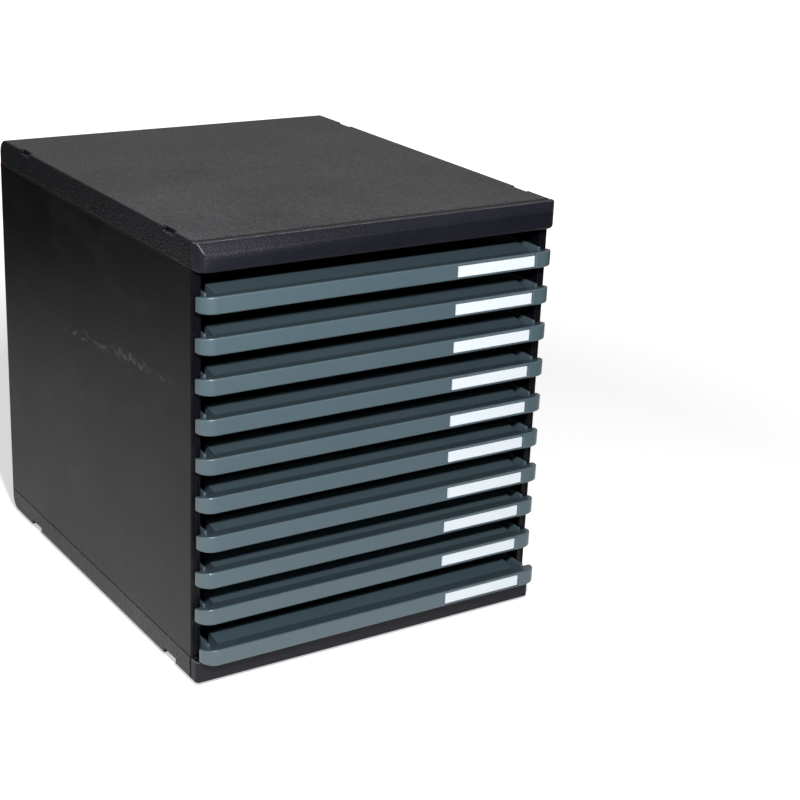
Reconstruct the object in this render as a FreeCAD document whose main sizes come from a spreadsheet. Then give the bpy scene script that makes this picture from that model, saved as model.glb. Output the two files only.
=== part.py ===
import FreeCAD, Part
import os
import re
import Sketcher

# Desktop cabinet with ten shallow document drawers, 288 x 347 x 320 mm.
#
# Every shape is drawn in the cabinet's own drawing frame: X to the right, Y from the
# front faces of the side panels to the back, Z up from the underside of the base.
# Each tray is drawn in the same X and Y, pushed fully home, with Z from its own
# underside. The placements then move everything so that the model's origin is the
# middle of the footprint, on the surface that the cabinet stands on.

DRIVING_SIZES = {
    # cabinet shell
    "width": 288.0,
    "depth": 337.4,
    "head_room": 14.65,
    "cover_skirt": 19.4,
    "cover_plate": 2.5,
    "base_skirt": 16.0,
    "base_plate": 2.5,
    "skirt_wall": 1.8,
    "cover_back_round": 11.0,
    "base_back_round": 10.0,
    "edge_bevel": 0.7,
    "tongue_gap": 0.5,
    "tongue_clearance": 0.2,
    "panel_wall": 3.0,
    "panel_edge_round": 1.6,
    "seam_bevel": 0.4,
    "back_wall": 3.0,
    "cover_rib_height": 5.0,
    "cover_rib_wall": 1.6,
    "cover_ribs": 5,
    # stacking notches in the long edges
    "notch_from_front": 25.0,
    "notch_from_back": 43.4,
    "notch_length": 18.4,
    "notch_rise": 3.5,
    "notch_inset": 3.0,
    "notch_backing": 1.4,
    # visor over the top drawer and rail under the bottom one
    "visor_reach": 10.8,
    "visor_drop": 19.9,
    "visor_corner": 8.0,
    "visor_lean": 4.8,
    "visor_knee": 14.5,
    "visor_top_round": 3.6,
    "visor_foot_round": 3.4,
    "visor_wall": 2.0,
    "visor_roof": 5.0,
    "seam_gap": 0.3,
    "rail_reach": 8.9,
    "rail_corner": 4.0,
    "rail_foot_round": 0.8,
    "rail_head_round": 1.2,
    # runner racks
    "rack_wall": 3.8,
    "ledge_reach": 6.2,
    "ledge_wall": 2.0,
    "ledge_setback": 3.0,
    "ledge_lead": 3.0,
    "runner_clearance": 0.15,
    "stop_reach": 3.2,
    "stop_length": 5.0,
    "stop_clearance": 0.2,
    # feet
    "foot_height": 3.8,
    "foot_diameter": 14.0,
    "foot_inset": 26.0,
    # drawers
    "tier_pitch": 28.01,
    "base_gap": 1.31,
    "side_clearance": 1.0,
    "back_clearance": 0.4,
    "travel": 240.0,
    "tray_wall": 1.6,
    "tray_floor": 1.8,
    "tray_wall_drop": 0.05,
    "tray_corner": 8.0,
    "lip_inset": 1.4,
    "lip_gap": 2.07,
    "lip_depth": 11.0,
    "lip_height": 12.25,
    "lip_corner_flat": 0.4,
    "lip_head_round": 0.9,
    "lip_foot_bevel": 0.6,
    "land_fall": 1.89,
    "sill_margin": 9.0,
    "sill_foot": 1.57,
    "sill_dip": 0.27,
    "sill_rim": 13.0,
    "sill_rise": 2.7,
    "sill_wall": 1.6,
    "lip_wall": 2.6,
    "core_roof": 2.7,
    "cores": 8,
    "core_rib": 1.6,
    "catch_clearance": 0.4,
    "catch_wall": 2.4,
    "catch_drop": 2.4,
    "catch_length": 6.0,
    "catch_setback": 14.0,
    # label holder
    "label_right_margin": 18.0,
    "label_length": 68.4,
    "label_foot_margin": 0.1,
    "label_head_margin": 0.35,
    "label_bevel": 0.5,
    "card_margin": 0.8,
    "card_foot_margin": 0.2,
    "card_head_margin": 1.1,
    "card_wall": 0.4,
    "window_wall": 0.6,
    "window_clearance": 0.1,
    "window_inset": 0.2,
}

# How far each drawer stands open, from the top drawer down.
AJAR = (0.66, 0.17, 0.42, 0.81, 1.03, 1.0, 2.63, 0.72, 0.39, 7.4)

doc = FreeCAD.newDocument("DrawerCabinet")
sheet = doc.addObject("Spreadsheet::Sheet", "Sizes")


def fill_sheet():
    cells = dict(DRIVING_SIZES)
    cells["tiers"] = len(AJAR)
    for number, opening in enumerate(AJAR, start=1):
        cells["ajar_%02d" % number] = opening
    for row, (alias, number) in enumerate(cells.items(), start=1):
        sheet.set("A%d" % row, alias)
        sheet.set("B%d" % row, str(number))
        sheet.setAlias("B%d" % row, alias)
    doc.recompute()


fill_sheet()
FUNCTIONS = ("max", "min")


def formula(text):
    """Point every word of a formula at its cell in the sheet."""
    def cell(match):
        word = match.group()
        return word if word in FUNCTIONS else "Sizes." + word
    return re.sub(r"[a-z][a-z_0-9]*", cell, text)


def value(text):
    """What a formula comes to with the sheet's present numbers."""
    return float(sheet.evalExpression(text))


# Places that several pieces share, as formulas of the driving sizes.
HALF = "width / 2"
FIRST_TIER = "(base_skirt + base_gap)"
LAST_LIP = "(base_skirt + base_gap + tier_pitch * (tiers - 1) + lip_height)"
VISOR_LOW = "(%s + head_room)" % LAST_LIP
BODY_TOP = "(%s + head_room + visor_drop)" % LAST_LIP
COVER_LOW = "(%s - cover_skirt)" % BODY_TOP
TONGUE_LOW = "(base_back_round + tongue_gap)"
TONGUE_HIGH = "(%s - cover_back_round - tongue_gap)" % BODY_TOP
RACK_OUT = "(width / 2 - panel_wall)"
RACK_IN = "(width / 2 - panel_wall - rack_wall)"
LEDGE_IN = "(width / 2 - panel_wall - rack_wall - ledge_reach)"
TRAY_OUT = "(width / 2 - panel_wall - rack_wall - side_clearance)"
TRAY_BACK = "(depth - back_wall - back_clearance)"
CATCH_FRONT = "(depth - back_wall - back_clearance - catch_setback)"
STOP_BACK = "(depth - back_wall - back_clearance - catch_setback - travel - stop_clearance)"
LIP_FRONT = "(lip_gap + lip_depth)"
LIP_OUT = "(width / 2 - lip_inset)"
LAND_BACK = "(lip_height - land_fall)"
SILL_FOOT = "(lip_height - land_fall - sill_dip)"
SILL_RIM = "(lip_height - land_fall - sill_dip + sill_rise)"
SILL_OUT = "(width / 2 - panel_wall - rack_wall - side_clearance - sill_margin)"
LABEL_RIGHT = "(width / 2 - lip_inset - label_right_margin)"
LABEL_LEFT = "(width / 2 - lip_inset - label_right_margin - label_length)"
LABEL_LOW = "(lip_foot_bevel + label_bevel + label_foot_margin)"
LABEL_HIGH = "(lip_height - lip_head_round - label_bevel - label_head_margin)"
LABEL_DEEP = "(card_wall + window_wall + window_clearance + window_inset)"
WIDEST_AJAR = "max(" + "; ".join("ajar_%02d" % n for n in range(1, len(AJAR) + 1)) + ")"
MIDDLE = "(depth - lip_gap - lip_depth - " + WIDEST_AJAR + ") / 2"


def start_body(label):
    body = doc.addObject("PartDesign::Body", label)
    body.Label = label
    return body


def sketch(body, plane, loops, offset="0"):
    """Closed outlines on one origin plane of the body, offset along its normal.

    Every corner is a pair of formulas, held from the sketch's origin."""
    drawing = body.newObject("Sketcher::SketchObject", "Outline")
    faces = [f for f in body.Origin.OriginFeatures if f.Role == plane + "_Plane"]
    drawing.AttachmentSupport = [(faces[0], "")]
    drawing.MapMode = "FlatFace"
    drawing.setExpression("AttachmentOffset.Base.z", formula(offset))
    for corners in loops:
        first = drawing.GeometryCount
        ends = [FreeCAD.Vector(value(across), value(up), 0) for across, up in corners]
        for index, start in enumerate(ends):
            drawing.addGeometry(Part.LineSegment(start, ends[(index + 1) % len(ends)]), False)
        for index, (across, up) in enumerate(corners):
            line = first + index
            following = first + (index + 1) % len(ends)
            drawing.addConstraint(Sketcher.Constraint("Coincident", line, 2, following, 1))
            for kind, text, number in (("DistanceX", across, ends[index].x),
                                       ("DistanceY", up, ends[index].y)):
                held = drawing.addConstraint(Sketcher.Constraint(kind, -1, 1, line, 1, number))
                drawing.setExpression("Constraints[%d]" % held, formula(text))
    doc.recompute()
    return drawing


def rectangle(left, right, low, high):
    return [(left, low), (right, low), (right, high), (left, high)]


def settle(body, feature):
    """Work a new feature out, and stop at the first one that fails."""
    doc.recompute()
    if "Invalid" in feature.State:
        raise ValueError("%s: %s failed" % (body.Label, feature.Name))
    return feature


def pad(body, drawing, length, both_ways=False, backward=False):
    solid = body.newObject("PartDesign::Pad", "Pad")
    solid.Profile = drawing
    solid.setExpression("Length", formula(length))
    solid.Midplane = both_ways
    solid.Reversed = backward
    return settle(body, solid)


def pocket(body, drawing, length, backward=False, both_ways=False):
    before = body.Shape.Volume
    hollow = body.newObject("PartDesign::Pocket", "Pocket")
    hollow.Profile = drawing
    hollow.setExpression("Length", formula(length))
    hollow.Midplane = both_ways
    hollow.Reversed = backward
    settle(body, hollow)
    if body.Shape.Volume > before - 0.01:
        raise ValueError(body.Label + ": a pocket cut nothing")
    return hollow


def within(low, high, wanted):
    """Is the span low..high inside the wanted place, a number or a pair?"""
    if wanted is None:
        return True
    first, last = wanted if isinstance(wanted, tuple) else (wanted, wanted)
    return low > first - 0.005 and high < last + 0.005


def edges_at(body, x=None, y=None, z=None):
    """Names of the edges that lie wholly at the given place."""
    shape = body.Tip.Shape
    names = []
    for number, edge in enumerate(shape.Edges, start=1):
        room = edge.BoundBox
        if (within(room.XMin, room.XMax, x) and within(room.YMin, room.YMax, y)
                and within(room.ZMin, room.ZMax, z)):
            names.append("Edge%d" % number)
    return names


def round_edges(body, names, radius, kind="Fillet"):
    base = body.Tip
    dressed = body.newObject("PartDesign::" + kind, kind)
    dressed.Base = (base, names)
    size = "Radius" if kind == "Fillet" else "Size"
    dressed.setExpression(size, formula(radius))
    return settle(body, dressed)


def stand(piece, extra_y="0", extra_z="0"):
    """Move a piece from the drawing frame to its place in the model."""
    piece.setExpression("Placement.Base.y", formula("-%s + %s" % (MIDDLE, extra_y)))
    piece.setExpression("Placement.Base.z", formula("foot_height + %s" % extra_z))
    return piece


def notch_spans():
    """Start and end of the front and the rear notch along the long edges."""
    front = ("notch_from_front", "notch_from_front + notch_length")
    rear = ("depth - notch_from_back - notch_length", "depth - notch_from_back")
    return (front, rear)


# ---------------------------------------------------------------- cabinet shell

def shell_cover(label, low, high, roof_up):
    """A lid or a base: a plate with a skirt down, or up, all round it.

    The back edge is rounded outside and cut off at a slant inside."""
    body = start_body(label)
    outline = rectangle("-" + HALF, HALF, "0", "depth")
    pad(body, sketch(body, "XY", [outline], low), "%s - %s" % (high, low))
    if roof_up:
        outer, rim, inward, plate, back_round = high, low, "-", "cover_plate", "cover_back_round"
    else:
        outer, rim, inward, plate, back_round = low, high, "+", "base_plate", "base_back_round"
    round_edges(body, edges_at(body, y=value("depth"), z=value(outer)), back_round)
    face = "%s %s %s" % (outer, inward, plate)
    turn = "%s %s %s" % (outer, inward, back_round)
    inner = [("skirt_wall", rim), ("skirt_wall", face), ("depth - " + back_round, face),
             ("depth - skirt_wall", turn), ("depth - skirt_wall", rim)]
    pocket(body, sketch(body, "YZ", [inner]), "width - 2 * skirt_wall", both_ways=True)
    return body


def top_cover():
    body = shell_cover("top_cover", COVER_LOW, BODY_TOP, True)
    add_cover_ribs(body)
    add_notches(body, True)
    half = value(HALF)
    top = value(BODY_TOP)
    long_edges = edges_at(body, x=half, z=top) + edges_at(body, x=-half, z=top)
    round_edges(body, long_edges, "edge_bevel", "Chamfer")
    return stand(body)


def add_cover_ribs(body):
    """Stiffening ribs from side to side under the roof plate."""
    face = BODY_TOP + " - cover_plate"
    spacing = "(depth - 2 * skirt_wall) / (cover_ribs + 1)"
    ribs = []
    for number in range(1, int(value("cover_ribs")) + 1):
        middle = "skirt_wall + %d * %s" % (number, spacing)
        ribs.append(rectangle("-(%s - skirt_wall)" % HALF, HALF + " - skirt_wall",
                              middle + " - cover_rib_wall / 2",
                              middle + " + cover_rib_wall / 2"))
    pad(body, sketch(body, "XY", ribs, face), "cover_rib_height", backward=True)


def add_notches(body, roof_up):
    """Stacking notches in the long edges, with a closed pocket behind each."""
    floor = BODY_TOP + " - notch_rise" if roof_up else "0"
    inside = "(%s - skirt_wall)" % HALF
    behind = "(%s - notch_inset - notch_backing)" % HALF
    mouth = "(%s - notch_inset)" % HALF
    beyond = "(%s + 1)" % HALF
    backing = []
    gaps = []
    for sign in ("", "-"):
        for start, end in notch_spans():
            backing.append(rectangle(sign + behind, sign + inside,
                                     start + " - notch_backing", end + " + notch_backing"))
            gaps.append(rectangle(sign + mouth, sign + beyond, start, end))
    rise = "(notch_rise + notch_backing)"
    start_z = "%s - %s" % (BODY_TOP, rise) if roof_up else "0"
    pad(body, sketch(body, "XY", backing, start_z), rise)
    pocket(body, sketch(body, "XY", gaps, floor), "notch_rise", backward=True)


def base_cover():
    body = shell_cover("base_cover", "0", "base_skirt", False)
    add_notches(body, False)
    return stand(body)


def front_visor():
    body = start_body("visor_moulding")
    knee = BODY_TOP + " - visor_knee"
    outline = [("-seam_gap", VISOR_LOW), ("-visor_reach", VISOR_LOW), ("-visor_reach", knee),
               ("-visor_reach + visor_lean", BODY_TOP), ("-seam_gap", BODY_TOP)]
    pad(body, sketch(body, "YZ", [outline]), "width", both_ways=True)
    round_edges(body, edges_at(body, y=value("-visor_reach + visor_lean"),
                               z=value(BODY_TOP)), "visor_top_round")
    round_edges(body, edges_at(body, y=value("-visor_reach"), z=value(VISOR_LOW)),
                "visor_foot_round")
    sill = VISOR_LOW + " + visor_wall"
    roof = BODY_TOP + " - visor_roof"
    shell = "-visor_reach + visor_wall"
    sloped = shell + " + visor_lean * (1 - visor_roof / visor_knee)"
    hollow = [("1", sill), (shell, sill), (shell, knee), (sloped, roof), ("1", roof)]
    pocket(body, sketch(body, "YZ", [hollow]), "width - 2 * visor_corner", both_ways=True)
    return plan_trim("front_visor", body, "visor_reach", VISOR_LOW, BODY_TOP, "visor_corner")


def plan_trim(label, moulding, reach, low, high, corner):
    """Keep what lies inside a plan outline with rounded front corners."""
    plan = start_body(label + "_plan")
    outline = rectangle("-" + HALF, HALF, "-" + reach, "0")
    pad(plan, sketch(plan, "XY", [outline], low), "%s - %s" % (high, low))
    half = value(HALF)
    nose = value("-" + reach)
    round_edges(plan, edges_at(plan, x=half, y=nose) + edges_at(plan, x=-half, y=nose), corner)
    common = doc.addObject("Part::Common", label)
    common.Label = label
    common.Base = moulding
    common.Tool = plan
    doc.recompute()
    return stand(common)


def base_front_rail():
    body = start_body("rail_moulding")
    outline = rectangle("-rail_reach", "-seam_gap", "0", "base_skirt")
    pad(body, sketch(body, "YZ", [outline]), "width", both_ways=True)
    nose = value("-rail_reach")
    round_edges(body, edges_at(body, y=nose, z=0.0), "rail_foot_round")
    round_edges(body, edges_at(body, y=nose, z=value("base_skirt")), "rail_head_round")
    hollow = rectangle("-(%s - visor_wall)" % HALF, HALF + " - visor_wall",
                       "visor_wall", "base_skirt - visor_wall")
    pocket(body, sketch(body, "XZ", [hollow], "seam_gap"),
           "rail_reach - visor_wall - seam_gap", backward=True)
    inner_y = value("-(rail_reach - visor_wall)")
    inner_x = value(HALF + " - visor_wall")
    corners = edges_at(body, x=inner_x, y=inner_y) + edges_at(body, x=-inner_x, y=inner_y)
    round_edges(body, corners, "rail_corner - visor_wall - seam_gap")
    return plan_trim("base_front_rail", body, "rail_reach", "0", "base_skirt", "rail_corner")


def tongued_profile(outside, inside, inward):
    """A wall seen end on: full between the skirts, a thin tongue into each of them."""
    out_tongue = "(%s %s skirt_wall %s tongue_clearance)" % (outside, inward, inward)
    return [(outside, "base_skirt"), (outside, COVER_LOW), (out_tongue, COVER_LOW),
            (out_tongue, TONGUE_HIGH), (inside, TONGUE_HIGH), (inside, TONGUE_LOW),
            (out_tongue, TONGUE_LOW), (out_tongue, "base_skirt")]


TONGUE_SPANS = ((TONGUE_LOW, "base_skirt"), (COVER_LOW, TONGUE_HIGH))


def side_panel(label, sign):
    body = start_body(label)
    outline = tongued_profile(HALF, RACK_OUT, "-")
    outline = [(sign + "(" + across + ")", up) for across, up in outline]
    pad(body, sketch(body, "XZ", [outline]), "depth", backward=True)
    half = value(sign + "(" + HALF + ")")
    round_edges(body, edges_at(body, x=half, y=0.0), "panel_edge_round")
    seam = value(sign + RACK_OUT)
    round_edges(body, edges_at(body, x=seam, y=0.0), "seam_bevel", "Chamfer")
    inside = sign + "(" + RACK_OUT + " - 1)"
    outside = sign + "(" + HALF + " + 1)"
    front_end = rectangle(inside, outside, "-1", "skirt_wall + tongue_clearance")
    back_end = rectangle(inside, outside, "depth - back_wall", "depth + 1")
    for start, end in TONGUE_SPANS:
        ends = sketch(body, "XY", [front_end, back_end], start)
        pocket(body, ends, "%s - %s" % (end, start), backward=True)
    return stand(body)


def back_panel():
    body = start_body("back_panel")
    outline = tongued_profile("depth", "depth - back_wall", "-")
    pad(body, sketch(body, "YZ", [outline]), "2 * " + RACK_OUT, both_ways=True)
    return stand(body)


# ---------------------------------------------------------------- runner racks

def runner_rack(label, sign):
    """Upright plate with one ledge per drawer and a stop tab on each ledge."""
    body = start_body(label)
    back = "(depth - back_wall)"
    plate = rectangle(sign + RACK_IN, sign + RACK_OUT, "0", back)
    pad(body, sketch(body, "XY", [plate], "base_skirt"),
        COVER_LOW + " - base_skirt")
    seam = value(sign + RACK_OUT)
    round_edges(body, edges_at(body, x=seam, y=0.0), "seam_bevel", "Chamfer")
    feather = rectangle(sign + RACK_IN, sign + RACK_OUT,
                        "skirt_wall + tongue_clearance", back + " - back_wall")
    for start, end in TONGUE_SPANS:
        pad(body, sketch(body, "XY", [feather], start), "%s - %s" % (end, start))
    stop_in = "(%s - stop_reach)" % LEDGE_IN
    stop_front = "(%s - stop_length)" % STOP_BACK
    ledge = [(sign + RACK_IN, "ledge_setback"),
             (sign + LEDGE_IN, "ledge_setback + ledge_lead"),
             (sign + LEDGE_IN, stop_front), (sign + stop_in, stop_front),
             (sign + stop_in, STOP_BACK), (sign + LEDGE_IN, STOP_BACK),
             (sign + LEDGE_IN, back), (sign + RACK_IN, back)]
    shelf = pad(body, sketch(body, "XY", [ledge],
                             FIRST_TIER + " - runner_clearance - ledge_wall"), "ledge_wall")
    pattern = body.newObject("PartDesign::LinearPattern", "Ledges")
    pattern.Originals = [shelf]
    upward = [axis for axis in body.Origin.OriginFeatures if axis.Role == "Z_Axis"][0]
    pattern.Direction = (upward, [""])
    pattern.setExpression("Length", formula("tier_pitch * (tiers - 1)"))
    pattern.setExpression("Occurrences", formula("tiers"))
    body.Tip = pattern
    doc.recompute()
    return stand(body)


def rubber_feet():
    feet = []
    for number, (side, lengthwise) in enumerate((
            ("-(%s - foot_inset)" % HALF, "foot_inset"),
            ("(%s - foot_inset)" % HALF, "foot_inset"),
            ("-(%s - foot_inset)" % HALF, "depth - foot_inset"),
            ("(%s - foot_inset)" % HALF, "depth - foot_inset"))):
        foot = doc.addObject("Part::Cylinder", "Foot%d" % number)
        foot.setExpression("Radius", formula("foot_diameter / 2"))
        foot.setExpression("Height", formula("foot_height"))
        foot.setExpression("Placement.Base.x", formula(side))
        foot.setExpression("Placement.Base.y", formula(lengthwise))
        foot.setExpression("Placement.Base.z", formula("-foot_height"))
        feet.append(foot)
    group = doc.addObject("Part::Compound", "rubber_feet")
    group.Label = "rubber_feet"
    group.Links = feet
    doc.recompute()
    return stand(group)


# ---------------------------------------------------------------- drawers

def tier_height(number):
    """Height of a drawer's underside above the base; drawer 1 is at the top."""
    return "%s + tier_pitch * (tiers - %d)" % (FIRST_TIER, number)


def seat_in_tier(piece, number):
    return stand(piece, "-ajar_%02d" % number, tier_height(number))


def tray(number):
    body = start_body("drawer_%02d_tray" % number)
    block = rectangle("-" + TRAY_OUT, TRAY_OUT, "-lip_gap", TRAY_BACK)
    pad(body, sketch(body, "XY", [block]), "lip_height - tray_wall_drop")
    basin = rectangle("-(%s - tray_wall)" % TRAY_OUT, TRAY_OUT + " - tray_wall",
                      "-lip_gap", TRAY_BACK + " - tray_wall")
    pocket(body, sketch(body, "XY", [basin], "tray_floor"), "lip_height - tray_wall_drop - tray_floor",
           backward=True)
    round_back_corners(body, TRAY_OUT + " - tray_wall", TRAY_BACK + " - tray_wall",
                       "tray_corner - tray_wall")
    round_back_corners(body, TRAY_OUT, TRAY_BACK, "tray_corner")
    add_lip(body)
    add_sill(body)
    core_out_front(body)
    cut_label_recess(body)
    add_catches(body)
    return seat_in_tier(body, number)


def round_back_corners(body, out, back, radius):
    right = edges_at(body, x=value(out), y=value(back))
    left = edges_at(body, x=-value(out), y=value(back))
    round_edges(body, right + left, radius)


def add_lip(body):
    """Grip along the front: upright face, land that falls to the back, round corners."""
    profile = [("-" + LIP_FRONT, "0"), ("-" + LIP_FRONT, "lip_height"),
               ("-lip_gap", LAND_BACK), ("-lip_gap", "0")]
    pad(body, sketch(body, "YZ", [profile]), "2 * " + LIP_OUT, both_ways=True)
    out = value(LIP_OUT)
    nose = value("-" + LIP_FRONT)
    round_edges(body, edges_at(body, x=out, y=nose) + edges_at(body, x=-out, y=nose),
                "lip_depth - lip_corner_flat")
    grip = (value("-" + LIP_FRONT), value("-lip_gap") - 0.1)
    low_rim = edges_at(body, y=grip, z=0.0)
    round_edges(body, low_rim, "lip_foot_bevel", "Chamfer")
    front_rim = edges_at(body, y=nose, z=value("lip_height"))
    round_edges(body, front_rim, "lip_head_round")


def add_sill(body):
    """Ramp behind the lip, which rises to a rim and then drops to the tray's floor."""
    profile = [("-lip_gap", "0"), ("-lip_gap", LAND_BACK),
               ("-lip_gap + sill_foot", SILL_FOOT), ("sill_rim", SILL_RIM),
               ("sill_rim + sill_wall", SILL_RIM), ("sill_rim + sill_wall", "0")]
    pad(body, sketch(body, "YZ", [profile]), "2 * " + SILL_OUT, both_ways=True)


def core_out_front(body):
    """Hollows under the lip and the ramp, open downward, with ribs between them."""
    count = int(value("cores"))
    cell = "(2 * (%s - core_rib) / cores)" % SILL_OUT
    cells = []
    for number in range(count):
        start = "-(%s - core_rib) + %d * %s" % (SILL_OUT, number, cell)
        cells.append(rectangle(start + " + core_rib / 2",
                               start + " + " + cell + " - core_rib / 2",
                               "-(%s - lip_wall)" % LIP_FRONT, "sill_rim"))
    pocket(body, sketch(body, "XY", cells), SILL_FOOT + " - core_roof", backward=True)


def cut_label_recess(body):
    """Shallow bevelled recess in the lip's face for the label and its window."""
    recess = rectangle(LABEL_LEFT, LABEL_RIGHT, LABEL_LOW, LABEL_HIGH)
    pocket(body, sketch(body, "XZ", [recess], LIP_FRONT), LABEL_DEEP)
    rim = edges_at(body, x=(value(LABEL_LEFT), value(LABEL_RIGHT)), y=value("-" + LIP_FRONT),
                   z=(value(LABEL_LOW), value(LABEL_HIGH)))
    round_edges(body, rim, "label_bevel", "Chamfer")


def add_catches(body):
    """Two hooks under the rear of the floor, which meet the stop tabs of the racks."""
    near = "(%s - catch_clearance)" % LEDGE_IN
    far = "(%s - catch_clearance - catch_wall)" % LEDGE_IN
    front = CATCH_FRONT
    back = "(%s + catch_length)" % CATCH_FRONT
    hooks = [rectangle(far, near, front, back), rectangle("-" + near, "-" + far, front, back)]
    pad(body, sketch(body, "XY", hooks), "catch_drop", backward=True)


def label_card(number):
    card = doc.addObject("Part::Box", "drawer_%02d_label_card" % number)
    card.Label = "drawer_%02d_label_card" % number
    card.setExpression("Length", formula("label_length - 2 * card_margin"))
    card.setExpression("Width", formula("card_wall"))
    rise = "%s - %s - card_foot_margin - card_head_margin" % (LABEL_HIGH, LABEL_LOW)
    card.setExpression("Height", formula(rise))
    card.setExpression("Placement.Base.x", formula(LABEL_LEFT + " + card_margin"))
    return seat_label(card, number, LABEL_DEEP + " - card_wall",
                      LABEL_LOW + " + card_foot_margin")


def label_window(number):
    pane = doc.addObject("Part::Box", "drawer_%02d_label_window" % number)
    pane.Label = "drawer_%02d_label_window" % number
    pane.setExpression("Length", formula("label_length - 2 * window_clearance"))
    pane.setExpression("Width", formula("window_wall"))
    pane.setExpression("Height", formula("%s - %s - 2 * window_clearance" % (LABEL_HIGH, LABEL_LOW)))
    pane.setExpression("Placement.Base.x", formula(LABEL_LEFT + " + window_clearance"))
    return seat_label(pane, number, "window_inset", LABEL_LOW + " + window_clearance")


def seat_label(piece, number, behind_face, above_floor):
    """Put a piece of the label holder behind the lip's face, on its drawer."""
    forward = "-ajar_%02d - %s + %s" % (number, LIP_FRONT, behind_face)
    return stand(piece, forward, tier_height(number) + " + " + above_floor)


def build():
    pieces = [top_cover(), front_visor(), base_cover(), base_front_rail(),
              side_panel("left_side_panel", "-"), side_panel("right_side_panel", ""),
              back_panel(), runner_rack("left_runner_rack", "-"),
              runner_rack("right_runner_rack", ""), rubber_feet()]
    for number in range(1, int(value("tiers")) + 1):
        pieces += [tray(number), label_card(number), label_window(number)]
    doc.recompute()
    return pieces


def check(pieces):
    for item in doc.Objects:
        if "Invalid" in item.State or "Error" in item.State:
            raise ValueError("%s did not build: %s" % (item.Label, item.State))
    for piece in pieces:
        if piece.Shape.isNull() or not piece.Shape.isValid() or not piece.Shape.Solids:
            raise ValueError(piece.Label + " has no valid solid")


def write(pieces):
    os.makedirs("parts", exist_ok=True)
    for piece in pieces:
        piece.Shape.exportStep("parts/%s.step" % piece.Label)
        room = piece.Shape.BoundBox
        print("%-28s %d solids  x %7.2f..%7.2f  y %7.2f..%7.2f  z %7.2f..%7.2f" % (
            piece.Label, len(piece.Shape.Solids), room.XMin, room.XMax,
            room.YMin, room.YMax, room.ZMin, room.ZMax))


pieces = build()
check(pieces)
write(pieces)
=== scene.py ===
# %% [markdown]
# # A desktop document cabinet with ten paper trays
# The real cabinet is moulded in plastic: a black lid, base, walls and visor, and ten blue-grey trays that
# slide on ledges. In each tray's lip sits a white paper card behind a clear strip.
# The CAD model already has every piece in its right shape and place. So this script loads it, gives each
# piece the surface of the real plastic, paper or rubber, remodels one piece, the visor, and sets a plain
# studio around the cabinet: one lamp, pale walls, a pale floor and a camera.

# %% Load the CAD frame
from math import asin, cos, degrees, radians, sin

import bmesh
import bpy
from mathutils import Matrix, Vector


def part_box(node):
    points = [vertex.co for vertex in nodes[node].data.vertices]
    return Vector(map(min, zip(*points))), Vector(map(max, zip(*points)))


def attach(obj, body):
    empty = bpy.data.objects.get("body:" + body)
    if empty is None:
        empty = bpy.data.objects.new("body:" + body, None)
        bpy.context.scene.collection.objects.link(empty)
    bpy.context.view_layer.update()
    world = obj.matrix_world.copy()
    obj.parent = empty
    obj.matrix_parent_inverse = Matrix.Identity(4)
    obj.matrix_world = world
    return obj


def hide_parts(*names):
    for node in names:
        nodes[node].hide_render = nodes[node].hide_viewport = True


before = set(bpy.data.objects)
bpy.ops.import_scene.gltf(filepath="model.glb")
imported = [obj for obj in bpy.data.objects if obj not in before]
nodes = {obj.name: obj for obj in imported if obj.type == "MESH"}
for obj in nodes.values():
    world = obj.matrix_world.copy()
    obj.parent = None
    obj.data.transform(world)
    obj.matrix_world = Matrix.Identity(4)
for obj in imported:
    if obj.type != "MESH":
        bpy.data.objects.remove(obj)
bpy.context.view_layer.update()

# %% [markdown]
# ## The camera
# The cabinet is seen from its front left and from a little above, from about 1.4 m away. A camera needs a
# place, a direction and a lens. A "track to" constraint would keep the camera level, and this one is
# tilted a little to the side, so its three axes are worked out from three angles: yaw turns it to the
# right, pitch tips it down, and roll leans it over.

# %% Camera
EYE = Vector((-0.620418, -1.116379, 0.611667))
YAW, PITCH, ROLL = 0.5902, 0.3547, 0.0447
LENS, SENSOR = 77.48, 36


def place_camera(eye, yaw, pitch, roll):
    ahead = Vector((sin(yaw) * cos(pitch), cos(yaw) * cos(pitch), -sin(pitch)))
    level_right = ahead.cross(Vector((0, 0, 1))).normalized()
    level_up = level_right.cross(ahead)
    right = cos(roll) * level_right + sin(roll) * level_up
    up = cos(roll) * level_up - sin(roll) * level_right
    turn = Matrix((right, up, -ahead)).transposed()
    data = bpy.data.cameras.new("studio_camera")
    data.lens = LENS
    data.sensor_width = SENSOR
    camera = bpy.data.objects.new("studio_camera", data)
    camera.matrix_world = Matrix.Translation(eye) @ turn.to_4x4()
    bpy.context.scene.collection.objects.link(camera)
    return camera


bpy.context.scene.camera = place_camera(EYE, YAW, PITCH, ROLL)
print("the camera stands", round(EYE.length, 3), "m from the middle of the cabinet's foot")

# %% [markdown]
# ## The lamp
# One lamp stands in front of the cabinet, above it and a little to the left. It lights the faces of the
# lips, and under each lip it leaves a dark band on the ramp of the tray below: the higher the lamp, the
# wider the band. It is an area lamp, because a lamp's size is what makes the edge of a shadow soft. This
# one is only 9 cm across, so the bands keep crisp edges.

# %% Lamp
KEY_PLACE, KEY_AIM = (-0.38, -0.95, 0.8), (0, -0.1, 0.16)
KEY_ACROSS, KEY_WATTS = 0.09, 17.0


def area_lamp(name, place, aim, across, watts):
    data = bpy.data.lights.new(name, "AREA")
    data.shape = "DISK"
    data.size = across
    data.energy = watts
    lamp = bpy.data.objects.new(name, data)
    turn = (Vector(aim) - Vector(place)).to_track_quat("-Z", "Y")
    lamp.matrix_world = Matrix.Translation(place) @ turn.to_matrix().to_4x4()
    bpy.context.scene.collection.objects.link(lamp)
    return lamp


key_lamp = area_lamp("key_lamp", KEY_PLACE, KEY_AIM, KEY_ACROSS, KEY_WATTS)
print("lamp:", key_lamp.name, KEY_WATTS, "W")

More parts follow.
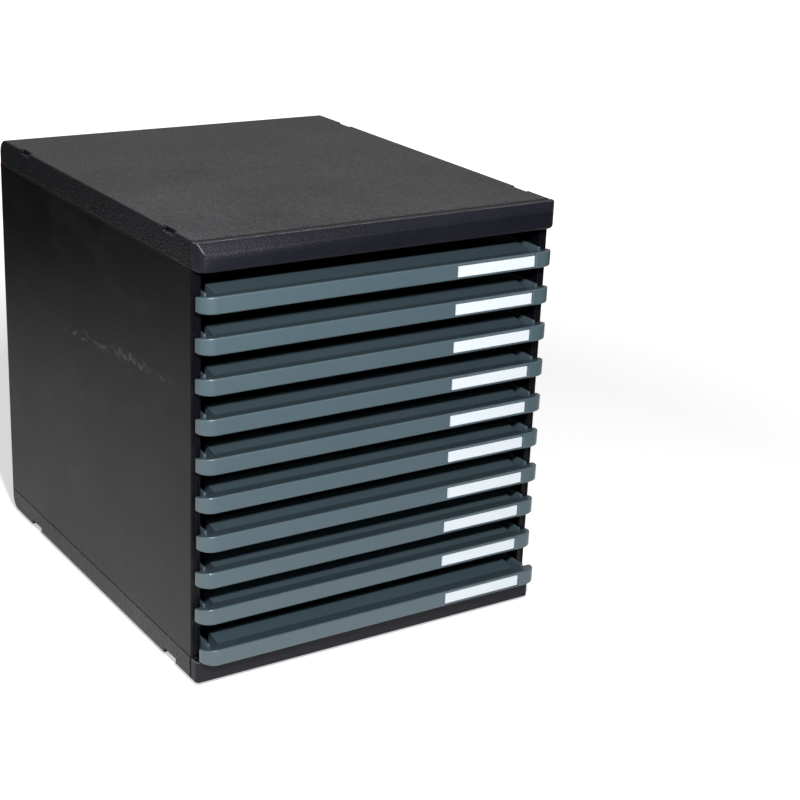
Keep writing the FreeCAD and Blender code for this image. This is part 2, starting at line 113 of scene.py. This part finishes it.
# %% [markdown]
# ## A helper for nodes
# The walls, the floor and every finish below are node graphs. In the editor each node is placed and each
# wire is drawn by hand. A script can do the same, but then a plain idea such as "dark in front, paler
# behind" gets lost among the wires. This class hides them: each method adds one node, wires into it what
# it is given, and hands back the node or its output, so a graph reads almost like a sum.

# %% Helper: nodes in one line each
Y_AXIS, Z_AXIS = 1, 2


class Nodes:
    """Adds nodes to one world or material."""

    def __init__(self, owner):
        owner.use_nodes = True
        self.owner = owner
        self.tree = owner.node_tree
        self.tree.nodes.clear()

    def plug(self, socket, source):
        if isinstance(source, bpy.types.NodeSocket):
            self.tree.links.new(source, socket)
        else:
            socket.default_value = source

    def add(self, kind, settings=None, **sockets):
        node = self.tree.nodes.new(kind)
        for key, setting in (settings or {}).items():
            setattr(node, key, setting)
        for key, source in sockets.items():
            self.plug(node.inputs[key.replace("_", " ")], source)
        return node

    def split(self, vector):
        return tuple(self.add("ShaderNodeSeparateXYZ", Vector=vector).outputs)

    def maths(self, operation, *sources):
        node = self.add("ShaderNodeMath", {"operation": operation})
        for socket, source in zip(node.inputs, sources):
            self.plug(socket, source)
        return node.outputs["Value"]

    def ramp(self, factor, low, high, out_low=0.0, out_high=1.0):
        """Slides from out_low to out_high while the factor goes from low to high."""
        node = self.add("ShaderNodeMapRange", Value=factor, From_Min=low, From_Max=high,
                        To_Min=out_low, To_Max=out_high)
        return node.outputs["Result"]

    def choose(self, factor, when_no, when_yes):
        return self.add("ShaderNodeMix", Factor=factor, A=when_no, B=when_yes).outputs["Result"]

    def finish(self, shader, output="ShaderNodeOutputMaterial"):
        self.add(output, Surface=shader)
        print(self.owner.name, "has", len(self.tree.nodes), "nodes")
        return self.owner


# %% [markdown]
# ## The walls
# Black plastic shows mostly what it mirrors, so the studio's walls depend on who looks at them. The camera
# sees plain white. A glossy surface sees walls that are nearly black in front, so that the cabinet's front
# stays dark, and paler behind, higher up and at both sides, so that the lid has a soft sheen. Matt surfaces
# get a faint even grey, with more light from the left and from behind.
# A picture of a whole studio could be wrapped round the scene instead, but a few ramps along the axes are
# easier to tune. In a world, Generated is a ray's own direction: X across, Y to the back and Z up.

# %% Walls
WHITE = (1, 1, 1, 1)


def light_world(grey, left, behind, front, back, sides, low, high):
    n = Nodes(bpy.data.worlds.new("studio_walls"))
    across, along, height = n.split(n.add("ShaderNodeTexCoord").outputs["Generated"])
    from_left = n.ramp(across, -0.9, 0.1, left, grey)
    for_matt = n.maths("MAXIMUM", from_left, n.ramp(along, 0.2, 0.9, 0.0, behind))
    beside = n.ramp(n.maths("ABSOLUTE", across), 0.62, 0.95, 0.0, sides)
    level = n.maths("ADD", n.ramp(along, -0.6, 0.6, front, back), beside)
    for_gloss = n.maths("MULTIPLY", level, n.ramp(height, 0.05, 0.4, low, high))
    ray = n.add("ShaderNodeLightPath").outputs
    for_surfaces = n.choose(ray["Is Glossy Ray"], for_matt, for_gloss)
    strength = n.choose(ray["Is Camera Ray"], for_surfaces, 1.0)
    walls = n.add("ShaderNodeBackground", Color=WHITE, Strength=strength)
    return n.finish(walls.outputs["Background"], "ShaderNodeOutputWorld")


bpy.context.scene.world = light_world(grey=0.07, left=0.45, behind=0.6, front=0.01, back=0.33, sides=0.3,
                                      low=0.45, high=1.35)
bpy.context.scene.view_settings.view_transform = "Standard"

# %% [markdown]
# ## The floor
# The floor is a wide disc that the four feet stand on: one filled circle. Its paint is pale round the
# cabinet, and darker in front and far off, because the black faces mirror the floor. A glow that only the
# camera sees makes up what the paint lacks, so the open floor is as white as the walls, and the floor near
# the cabinet still shows its shadow.

# %% Floor
FLOOR_RADIUS = 6.0
FLOOR_PALE, FLOOR_DARK, FLOOR_SEEN = 0.86, 0.1, 1.35


def floor_paint():
    n = Nodes(bpy.data.materials.new("pale_floor_paint"))
    place = n.add("ShaderNodeTexCoord").outputs["Object"]
    distance = n.add("ShaderNodeVectorMath", {"operation": "LENGTH"}, Vector=place).outputs["Value"]
    in_front = n.ramp(n.split(place)[Y_AXIS], -0.5, -0.1, FLOOR_DARK, FLOOR_PALE)
    far_off = n.ramp(distance, 0.55, 1.1, FLOOR_PALE, FLOOR_DARK)
    pale = n.maths("MINIMUM", in_front, far_off)
    seen = n.add("ShaderNodeLightPath").outputs["Is Camera Ray"]
    glow = n.maths("MULTIPLY", seen, n.maths("SUBTRACT", FLOOR_SEEN, pale))
    both = n.add("ShaderNodeAddShader")
    n.plug(both.inputs[0], n.add("ShaderNodeBsdfDiffuse", Color=pale).outputs["BSDF"])
    n.plug(both.inputs[1], n.add("ShaderNodeEmission", Strength=glow).outputs["Emission"])
    return n.finish(both.outputs["Shader"])


def stage_floor():
    shape = bmesh.new()
    bmesh.ops.create_circle(shape, cap_ends=True, segments=96, radius=FLOOR_RADIUS)
    mesh = bpy.data.meshes.new("studio_floor")
    shape.to_mesh(mesh)
    shape.free()
    mesh.materials.append(floor_paint())
    floor = bpy.data.objects.new("studio_floor", mesh)
    bpy.context.scene.collection.objects.link(floor)
    return floor


floor = stage_floor()
print("floor:", floor.dimensions[:])

# %% [markdown]
# ## Patterns that need no wrapping
# A painted texture would have to be wrapped round each piece, and its seams would show. Noise that is read
# at each point's own place in the piece has no seams, so it makes the grain, the slow change in tone, the
# dust and the scuffs. To find edges, the Bevel node gives the normal that a slightly rounded piece would
# have: where it leaves the true normal, there is an edge.

# %% Helper: patterns for surfaces
FLAT = 0.995


class Surface(Nodes):
    """Nodes of one material, with patterns in the piece's own metres."""

    def __init__(self, name):
        super().__init__(bpy.data.materials.new(name))

    def axes(self):
        return self.split(self.add("ShaderNodeTexCoord").outputs["Object"])

    def upward(self):
        """1 on level faces that look up, 0 on walls."""
        return self.split(self.add("ShaderNodeNewGeometry").outputs["Normal"])[Z_AXIS]

    def noise(self, scale, detail=2.0, rough=0.5, stretch=(1, 1, 1)):
        place = self.add("ShaderNodeTexCoord").outputs["Object"]
        drawn_out = self.add("ShaderNodeMapping", Vector=place, Scale=stretch).outputs["Vector"]
        node = self.add("ShaderNodeTexNoise", Vector=drawn_out, Scale=scale, Detail=detail, Roughness=rough)
        return node.outputs["Fac"]

    def blend(self, factor, first, second):
        node = self.add("ShaderNodeMix", {"data_type": "RGBA"}, Factor=factor)
        for socket, source in ((node.inputs[6], first), (node.inputs[7], second)):
            self.plug(socket, (*source, 1) if isinstance(source, tuple) else source)
        return node.outputs[2]

    def edges(self, soft, sharp):
        """0 where the soft normal is the true one, 1 where their dot product is down to sharp."""
        turned = self.add("ShaderNodeVectorMath", {"operation": "DOT_PRODUCT"})
        self.plug(turned.inputs[0], soft)
        self.plug(turned.inputs[1], self.add("ShaderNodeNewGeometry").outputs["Normal"])
        return self.ramp(turned.outputs["Value"], FLAT, sharp)


# %% [markdown]
# ## Moulded plastic
# All of the cabinet's plastic is one family: a colour mixed through the material, a fine grain that the
# mould's etched steel gives it, and a pale line along each edge: wear where hands have touched it, and on
# the visor and rail also a painted highlight. One function makes them all. The noise that lifts the colour
# of single grains also drives the bump, so each pale fleck sits on a small rise. The bump starts from the
# Bevel node's soft normal, and so every edge catches the light as a moulded edge does, even where the CAD
# edge is sharp. A finish may hand in marks of its own, or painted shade as the trays do: a function that
# changes the paint, the roughness and the normal before they reach the shader.

# %% Helper: moulded plastic
COAT_ROUGHNESS = 0.16


def moulded(name, *, colour, pale, edge_wear_and_highlight, roughness, grain_size, grain_depth, gloss=0.5, softness=0.0008,
            wear_and_highlight=0.7, sharp_edge=0.75, coat=0.0, marks_and_painted_shade=None):
    n = Surface(name)
    cloud = n.noise(9.0, 4.0, 0.6)
    grain = n.noise(1.0 / grain_size, 2.0, 0.6)
    coarse = n.noise(0.35 / grain_size, 3.0, 0.7)
    tone = n.blend(n.ramp(cloud, 0.35, 0.65, 0.0, 0.35), colour, pale)
    fleck = n.maths("MULTIPLY", n.ramp(grain, 0.35, 0.7), n.ramp(coarse, 0.35, 0.65, 0.25, 1.0))
    soft = n.add("ShaderNodeBevel", {"samples": 4}, Radius=softness).outputs["Normal"]
    patchy = n.ramp(n.noise(60.0, 4.0), 0.3, 0.7, 0.3 * wear_and_highlight, wear_and_highlight)
    # Pale edges: wear, and where the pale edge colour is bright, as on the visor and rail, also a painted
    # highlight.
    worn_and_highlit_edges = n.maths("MULTIPLY", n.edges(soft, sharp_edge), patchy)
    paint = n.blend(worn_and_highlit_edges, n.blend(fleck, tone, pale), edge_wear_and_highlight)
    rough = n.ramp(cloud, 0.3, 0.7, roughness - 0.05, roughness + 0.05)
    # Marks of a finish's own, and on the trays painted shade on faces that look up.
    if marks_and_painted_shade:
        paint, rough, soft = marks_and_painted_shade(n, paint, rough, soft)
    bump = n.add("ShaderNodeBump", Strength=1.0, Distance=grain_depth, Height=grain, Normal=soft)
    shader = n.add("ShaderNodeBsdfPrincipled", Base_Color=paint, Roughness=rough, Specular_IOR_Level=gloss,
                   Coat_Weight=coat, Coat_Roughness=COAT_ROUGHNESS, Normal=bump.outputs["Normal"])
    return n.finish(shader.outputs["BSDF"])


# %% [markdown]
# ## Seams between mouldings
# Where two mouldings meet, a fine dark line runs along the joint. The solids stand there with hardly a gap
# between them, and a cut in every mesh would be far more work than a line in the finish: a material can
# darken and sink the last millimetre before the joint, because it can tell how far a point is from the
# joint's plane. The places are read from the pieces' own boxes. The line between lid and visor is drawn on
# the lid alone, so its middle lies a millimetre behind the lid's front edge.

# %% Helper: a seam
COVER_LOW = Vector(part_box("top_cover")[0])
BASE_HIGH = Vector(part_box("base_cover")[1])
BEHIND_EDGE = 0.000965
VISOR_SEAM = COVER_LOW.y + BEHIND_EDGE
SEAM_DARK, SEAM_DEPTH = (0.001, 0.001, 0.001), 0.0006


def seam(n, paint, rough, soft, axis, place, half_width=0.0011):
    """A dark line, sunk a little, on both sides of one place on one axis."""
    away = n.maths("ABSOLUTE", n.maths("SUBTRACT", n.axes()[axis], place))
    open_face = n.ramp(away, half_width * 0.5, half_width)
    sunk = n.add("ShaderNodeBump", Strength=1.0, Distance=SEAM_DEPTH, Height=open_face, Normal=soft)
    matt_line = n.ramp(open_face, 0.0, 1.0, 1.0, 0.0)
    return n.blend(open_face, SEAM_DARK, paint), n.maths("MAXIMUM", rough, matt_line), sunk.outputs["Normal"]


print("seams at z =", round(COVER_LOW.z, 4), "and", round(BASE_HIGH.z, 4), "and y =", round(VISOR_SEAM, 4))

# %% [markdown]
# ## Lid and base
# The lid and the base have the coarsest grain of all, and fine dust lies on them in specks and in slow
# patches. Dust falls on faces that look up, so the normal's Z lays it on. It is a grey mixed into the
# paint, so it shows most from above, where black plastic mirrors least.

# %% Lid and base
DUST = (0.105, 0.105, 0.112)


def lid_marks(n, paint, rough, soft):
    paint, rough, soft = seam(n, paint, rough, soft, Y_AXIS, VISOR_SEAM, 0.0018)
    specks = n.ramp(n.noise(520.0, 2.0, 0.6), 0.36, 0.64, 0.3, 1.0)
    film = n.ramp(n.noise(9.0, 6.0, 0.62), 0.3, 0.7, 0.35, 1.0)
    settled = n.ramp(n.upward(), 0.7, 0.99, 0.0, 0.8)
    dust = n.maths("MULTIPLY", n.maths("MULTIPLY", specks, film), settled)
    return seam(n, n.blend(dust, paint, DUST), rough, soft, Z_AXIS, COVER_LOW.z)


black_grained = moulded("black_grained_plastic", colour=(0.002, 0.002, 0.004), pale=(0.007, 0.007, 0.012),
                        edge_wear_and_highlight=(0.01, 0.01, 0.012), roughness=0.3, grain_size=0.0019, grain_depth=0.0011,
                        gloss=0.36, softness=0.0012, wear_and_highlight=0.4, marks_and_painted_shade=lid_marks)

# %% [markdown]
# ## Visor, rail, back and racks
# The visor and the rail under the lowest tray are handled most. Their plastic is bluer and rougher, and
# their edges, gentle ones too (that is what a sharp_edge nearer to 1 does), are pale: partly wear, and
# partly a painted highlight along the rim, the round corners and the crease. The back wall and the racks
# inside are nearly smooth, and hardly anything rubs them.

# %% Visor, rail, back and racks
# The bright pale edge colour here is partly wear and partly a painted highlight on the rim, corners and
# crease.
black_trim = moulded("black_trim_plastic", colour=(0.0015, 0.0015, 0.0045), pale=(0.007, 0.007, 0.018),
                     edge_wear_and_highlight=(0.3, 0.3, 0.32), roughness=0.48, grain_size=0.0011, grain_depth=0.0003,
                     gloss=0.47, softness=0.0011, wear_and_highlight=0.9, sharp_edge=0.9)
black_smooth = moulded("black_smooth_plastic", colour=(0.002, 0.002, 0.0035), pale=(0.004, 0.004, 0.007),
                       edge_wear_and_highlight=(0.03, 0.03, 0.036), roughness=0.28, grain_size=0.0016, grain_depth=0.0001,
                       gloss=0.33, softness=0.0006, wear_and_highlight=0.3)

# %% [markdown]
# ## Side walls
# The side walls are smooth too. The left one has been rubbed against something: a ragged pale mark, about
# 17 cm long, runs slightly down to the back. It is a band round a sloping line: one noise shakes the line's
# height, and another breaks the band up. Both walls share this finish, so a ramp across the cabinet keeps
# the mark to the left one. A very thin smear of dust lies on both.

# %% Side walls
MARK_HEIGHT, MARK_SLOPE = 0.2045, -0.089
MARK_MIDDLE, MARK_FULL, MARK_END = -0.03, 0.07, 0.105
MARK_PALE, MARK_STRENGTH = (0.2, 0.2, 0.205), 0.45


def wall_marks(n, paint, rough, soft):
    for place in (COVER_LOW.z, BASE_HIGH.z):
        paint, rough, soft = seam(n, paint, rough, soft, Z_AXIS, place)
    across, along, height = n.axes()
    ragged = n.ramp(n.noise(70.0, 5.0, 0.7, (1, 1, 1.6)), 0.3, 0.7, -0.006, 0.006)
    line = n.maths("MULTIPLY_ADD", along, MARK_SLOPE, MARK_HEIGHT)
    off_line = n.maths("ABSOLUTE", n.maths("ADD", n.maths("SUBTRACT", height, line), ragged))
    off_middle = n.maths("ABSOLUTE", n.maths("SUBTRACT", along, MARK_MIDDLE))
    broken = n.ramp(n.noise(140.0, 4.0, 0.7, (1, 0.5, 1)), 0.42, 0.62)
    scrape = n.maths("MULTIPLY", n.ramp(off_line, 0.0004, 0.003, MARK_STRENGTH, 0.0), broken)
    scrape = n.maths("MULTIPLY", scrape, n.ramp(off_middle, MARK_FULL, MARK_END, 1.0, 0.0))
    scrape = n.maths("MULTIPLY", scrape, n.ramp(across, -0.1, 0.0, 1.0, 0.0))
    smear = n.ramp(n.noise(30.0, 8.0, 0.75, (1, 0.5, 1)), 0.5, 0.9, 0.0, 0.08)
    return n.blend(n.maths("MAXIMUM", scrape, smear), paint, MARK_PALE), rough, soft


black_wall = moulded("black_wall_plastic", colour=(0.002, 0.002, 0.0035), pale=(0.005, 0.005, 0.007),
                     edge_wear_and_highlight=(0.03, 0.03, 0.036), roughness=0.3, grain_size=0.0016, grain_depth=0.0001,
                     gloss=0.2, softness=0.0006, wear_and_highlight=0.3, marks_and_painted_shade=wall_marks)

# %% [markdown]
# ## Trays
# The trays are blue-grey and have hardly any grain. A thin glossy coat over the satin plastic gives the
# small white glint on each lip's round corner. Faces that look up, the floor, the ramp and the land behind
# the lip, are mixed with a dark tone: painted shade, which keeps them darker than the lip's face.

# %% Trays
# Painted shade: a dark tone mixed into every tray face that looks up, so it stays darker than the lip's
# face.
TRAY_PAINTED_SHADE = (0.002, 0.004, 0.006)


def tray_painted_shade(n, paint, rough, soft):
    return n.blend(n.ramp(n.upward(), 0.5, 0.9, 0.0, 0.42), paint, TRAY_PAINTED_SHADE), rough, soft


tray_grey = moulded("tray_blue_grey_plastic", colour=(0.060, 0.098, 0.119), pale=(0.070, 0.112, 0.134),
                    edge_wear_and_highlight=(0.18, 0.25, 0.28), roughness=0.48, grain_size=0.0014, grain_depth=0.00006,
                    gloss=0.75, softness=0.0016, wear_and_highlight=0.3, coat=1.0, marks_and_painted_shade=tray_painted_shade)

# %% [markdown]
# ## Paper, clear strip and rubber
# The card is plain white paper, with a faint fibre drawn out along one way. The clear strip over it is thin
# stiff film. Real refraction would cost much and show nothing on so thin a piece, so it is a mix of plain
# see-through and a mirror, and Fresnel decides how much of each: more mirror at a flat angle. Only the
# outer face mirrors, or else the light would be counted twice. The feet are matt black rubber.

# %% Paper, clear strip and rubber
def paper():
    n = Surface("white_card")
    fibre = n.noise(900.0, 3.0, stretch=(1, 1, 3))
    tone = n.blend(fibre, (0.79, 0.82, 0.835), (0.85, 0.875, 0.885))
    bump = n.add("ShaderNodeBump", Strength=0.2, Distance=0.0001, Height=fibre)
    shader = n.add("ShaderNodeBsdfPrincipled", Base_Color=tone, Roughness=0.8, Normal=bump.outputs["Normal"])
    return n.finish(shader.outputs["BSDF"])


def clear_film():
    n = Surface("clear_label_film")
    outer = n.maths("SUBTRACT", 1.0, n.add("ShaderNodeNewGeometry").outputs["Backfacing"])
    fresnel = n.add("ShaderNodeFresnel", IOR=1.45).outputs["Fac"]
    mixed = n.add("ShaderNodeMixShader", Fac=n.maths("MULTIPLY", fresnel, outer))
    through = n.add("ShaderNodeBsdfTransparent", Color=(0.97, 0.98, 0.99, 1))
    mirror = n.add("ShaderNodeBsdfGlossy", Color=WHITE, Roughness=0.12)
    n.plug(mixed.inputs[1], through.outputs["BSDF"])
    n.plug(mixed.inputs[2], mirror.outputs["BSDF"])
    return n.finish(mixed.outputs["Shader"])


white_card = paper()
label_film = clear_film()
rubber = moulded("black_rubber", colour=(0.012, 0.012, 0.012), pale=(0.03, 0.03, 0.03),
                 edge_wear_and_highlight=(0.05, 0.05, 0.05), roughness=0.8, grain_size=0.0015, grain_depth=0.0001)

# %% [markdown]
# ## Tools for a remodelled piece
# A new piece starts as a block and is shaped by bmesh operators: a bevel rounds the edges that a test picks
# out, and a plane slices off what lies beyond it and closes the cut at once. At the end the piece becomes a
# mesh that is smooth except at its sharp edges, and it is told which body it rides on.

# %% Helpers: block, round, slice and finish
NEAR = 1e-5


def block(low, high):
    shape = bmesh.new()
    bmesh.ops.create_cube(shape, size=1.0)
    bmesh.ops.scale(shape, vec=high - low, verts=shape.verts)
    bmesh.ops.translate(shape, vec=(low + high) / 2, verts=shape.verts)
    return shape


def edges_where(shape, wanted):
    return [edge for edge in shape.edges if all(wanted(v.co) for v in edge.verts)]


def rounded(shape, edges, radius, segments):
    bmesh.ops.bevel(shape, geom=edges, offset=radius, segments=segments, profile=0.5, affect="EDGES",
                    material=-1)


def slice_off(shape, point, normal):
    every = shape.verts[:] + shape.edges[:] + shape.faces[:]
    cut = bmesh.ops.bisect_plane(shape, geom=every, dist=1e-7, plane_co=point, plane_no=normal,
                                 clear_outer=True)
    rim = [part for part in cut["geom_cut"] if isinstance(part, bmesh.types.BMEdge)]
    bmesh.ops.edgeloop_fill(shape, edges=rim)


def piece(name, shape, body, material, smooth_to=30):
    bmesh.ops.remove_doubles(shape, verts=shape.verts, dist=1e-6)
    bmesh.ops.recalc_face_normals(shape, faces=shape.faces)
    mesh = bpy.data.meshes.new(name)
    shape.to_mesh(mesh)
    shape.free()
    for face in mesh.polygons:
        face.use_smooth = True
    mesh.set_sharp_from_angle(angle=radians(smooth_to))
    mesh.materials.append(material)
    made = bpy.data.objects.new(name, mesh)
    bpy.context.scene.collection.objects.link(made)
    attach(made, body)
    print(name, "faces:", len(mesh.polygons))
    return made


# %% [markdown]
# ## The visor
# A bar along the front of the lid overhangs the top drawer. Its face isn't flat: it swells forward from a
# crisp rim at the top, stands upright lower down and is rounded under the foot, and its two ends turn back
# in round corners. A bevel of the top edge would give the same round all the way, so the block is first
# given its round corners and its foot with bevels, and then the face is cut by a fan of planes that all
# touch one arc. The arc runs out of the upright face, is as high as SWELL, and ends at the rim, which is
# RIM_BACK in front of the bar's back. One more plane cuts a narrow chamfer behind the rim.

# %% Visor
VISOR_LOW, VISOR_HIGH = (Vector(corner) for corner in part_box("front_visor"))
RIM_BACK, SWELL = 0.0056, 0.013
PLANES = 12
CORNER_ROUND, FOOT_ROUND = 0.0085, 0.0026
REAR_CHAMFER = 0.0012


def visor_shell():
    shape = block(VISOR_LOW, VISOR_HIGH)
    front, back = VISOR_LOW.y, VISOR_HIGH.y
    foot, top = VISOR_LOW.z, VISOR_HIGH.z
    upright = [edge for edge in edges_where(shape, lambda p: abs(p.y - front) < NEAR)
               if abs(edge.verts[0].co.x - edge.verts[1].co.x) < NEAR]
    rounded(shape, upright, CORNER_ROUND, 12)
    foot_edges = [edge for edge in edges_where(shape, lambda p: abs(p.z - foot) < NEAR)
                  if min(v.co.y for v in edge.verts) < back - 0.001]
    rounded(shape, foot_edges, FOOT_ROUND, 5)
    drop = back - front - RIM_BACK
    radius = (SWELL ** 2 + drop ** 2) / (2 * drop)
    steepest = asin(SWELL / radius)
    for step in range(1, PLANES + 1):
        lean = steepest * step / PLANES
        point = Vector((0, front + radius - radius * cos(lean), top - SWELL + radius * sin(lean)))
        slice_off(shape, point, Vector((0, -cos(lean), sin(lean))))
    slice_off(shape, Vector((0, back - REAR_CHAMFER, top)), Vector((0, 1, 1)))
    print("the visor's face leans back to", round(degrees(steepest)), "degrees at its rim")
    return piece("visor_shell", shape, "cabinet", black_trim)


visor = visor_shell()
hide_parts("front_visor")

# %% [markdown]
# ## Dress the pieces
# Each CAD piece has its material in a slot. The slots are linked to the object instead of the mesh, so the
# mesh stays as it was loaded. The trays, cards and strips are known by the end of their names, and the
# other pieces by the whole name.

# %% Give every piece its material
ENDINGS = {"_tray": tray_grey, "_label_card": white_card, "_label_window": label_film}
FINISHES = {"top_cover": black_grained, "front_visor": black_trim, "base_cover": black_grained,
            "base_front_rail": black_trim, "left_side_panel": black_wall, "right_side_panel": black_wall,
            "back_panel": black_smooth, "left_runner_rack": black_smooth,
            "right_runner_rack": black_smooth, "rubber_feet": rubber}


def finish_of(node):
    for ending, material in ENDINGS.items():
        if node.endswith(ending):
            return material
    return FINISHES[node]


def dress(node, material):
    slots = nodes[node].material_slots
    for slot in slots:
        slot.link = "OBJECT"
        slot.material = material
    if not slots:
        nodes[node].data.materials.append(material)


for node in nodes:
    dress(node, finish_of(node))
print("dressed:", len(nodes), "pieces")
